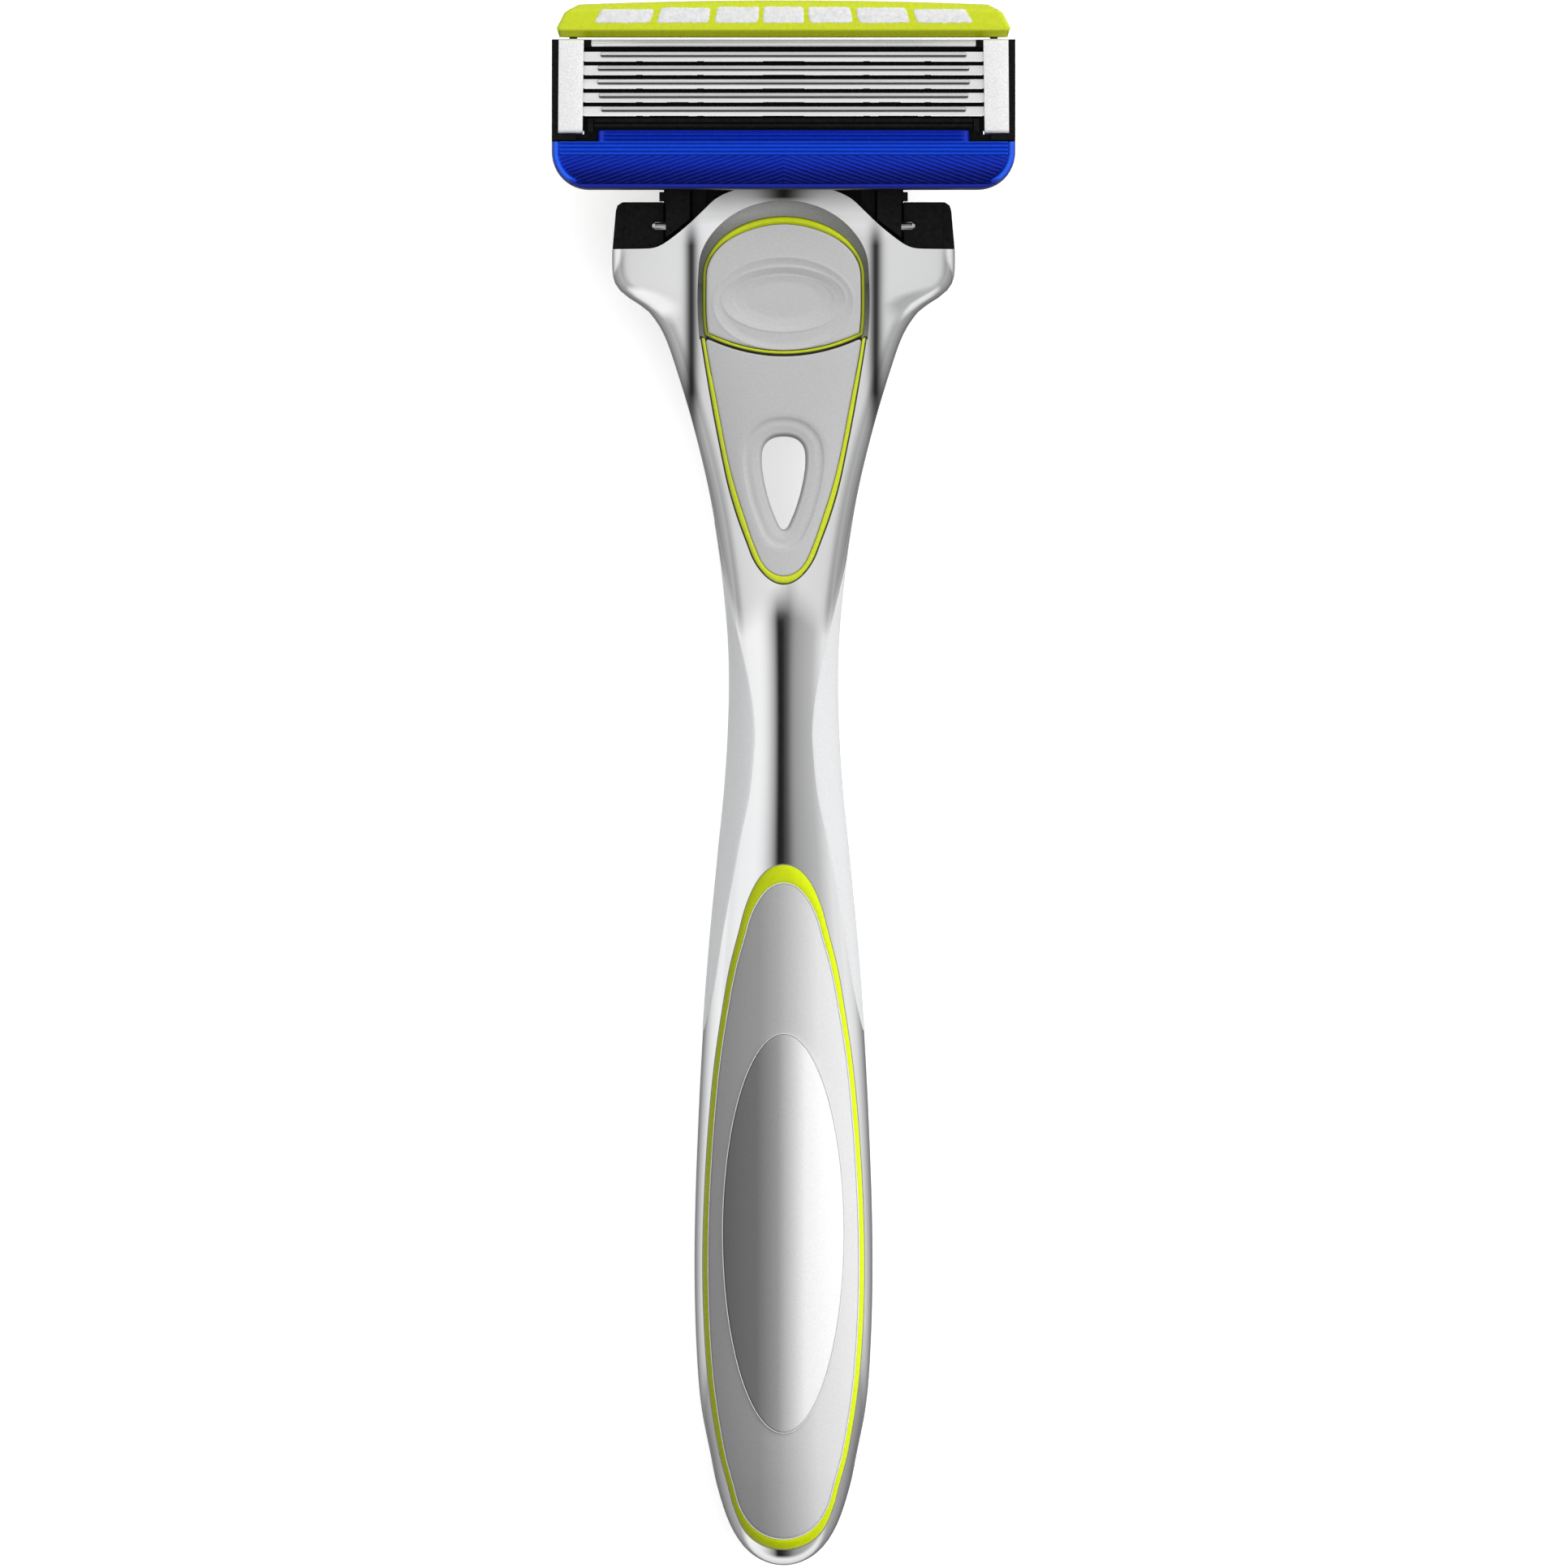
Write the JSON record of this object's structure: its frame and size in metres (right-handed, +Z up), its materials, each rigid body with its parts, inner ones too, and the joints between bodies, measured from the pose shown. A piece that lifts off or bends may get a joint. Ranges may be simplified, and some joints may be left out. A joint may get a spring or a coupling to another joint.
{
  "type": "cartridge razor",
  "caption": "Hand razor with a pivoting bladed cartridge, flip-back gel reservoir, finned guard, thumb release button and padded grips on a metal handle.",
  "frame": {"origin": "on the surface the razor lies on, under the middle of its length and width", "axes": "+Y along the handle towards the cartridge, +Z up through the blades, +X to the right seen from the blades"},
  "size_m": [0.0424, 0.1436, 0.0202],
  "materials": {
    "polished_metal": "polished",
    "satin_metal": "satin",
    "plain_steel": "satin",
    "blade_steel": "gloss",
    "guard_bar": "gloss",
    "clip_aluminium": "satin",
    "lime_plastic": "gloss",
    "black_plastic": "satin",
    "grey_grip": "matte",
    "pale_grip": "satin",
    "blue_elastomer": "satin",
    "white_gel": "matte"
  },
  "bodies": {
    "handle": {"handle_frame": "polished_metal", "grip_tray": "lime_plastic", "grip_pad": "grey_grip", "badge_plate": "satin_metal", "neck_tray": "lime_plastic", "neck_pad": "grey_grip", "side_grip_left": "pale_grip", "side_grip_right": "pale_grip", "back_grip": "grey_grip", "balance_weight": "plain_steel", "docking_head": "black_plastic", "button_spring": "plain_steel"},
    "button": {"button_base": "lime_plastic", "button_pad": "grey_grip", "pusher": "black_plastic"},
    "connector": {"connector_yoke": "black_plastic", "latch_pegs": "plain_steel", "pivot_pins": "plain_steel", "plunger_spring": "plain_steel"},
    "plunger": {"plunger": "black_plastic"},
    "cartridge": {"cartridge_frame": "black_plastic", "blade_1": "blade_steel", "blade_2": "blade_steel", "blade_3": "blade_steel", "blade_4": "blade_steel", "blade_5": "blade_steel", "blade_support_1": "plain_steel", "blade_support_2": "plain_steel", "blade_support_3": "plain_steel", "blade_support_4": "plain_steel", "blade_support_5": "plain_steel", "skin_guard_bars": "guard_bar", "clip_left": "clip_aluminium", "clip_right": "clip_aluminium", "guard_elastomer": "blue_elastomer", "cap_bar": "clip_aluminium"},
    "reservoir": {"reservoir_carrier": "lime_plastic", "gel_pads": "white_gel", "reservoir_hinge_pins": "plain_steel"}
  },
  "joints": [
    {"name": "release_button", "type": "slide", "parent": "handle", "child": "button", "axis": [0, 1, 0], "range_m": [0, 0.0012], "stiffness_N_per_m": 500, "springref_m": -0.002, "deforming": ["button_spring"]},
    {"name": "cartridge_release", "type": "slide", "parent": "handle", "child": "connector", "axis": [0, 1, 0], "range_m": [0, 0.014]},
    {"name": "cartridge_pivot", "type": "hinge", "parent": "connector", "child": "cartridge", "pos_m": [0, 0.0615, 0.0145], "axis": [-1, 0, 0], "range_deg": [0, 38], "stiffness_Nm_per_rad": 0.01, "springref_deg": -17.19},
    {"name": "plunger_slide", "type": "slide", "parent": "connector", "child": "plunger", "axis": [0, 1, 0], "range_m": [-0.0034, 0], "deforming": ["plunger_spring"]},
    {"name": "reservoir_flip", "type": "hinge", "parent": "cartridge", "child": "reservoir", "pos_m": [0, 0.0701, 0.0169], "axis": [-1, 0, 0], "range_deg": [0, 60]}
  ],
  "couplings": [
    {"joint": "plunger_slide", "follows": "cartridge_pivot", "m_per_rad": -0.00505}
  ]
}
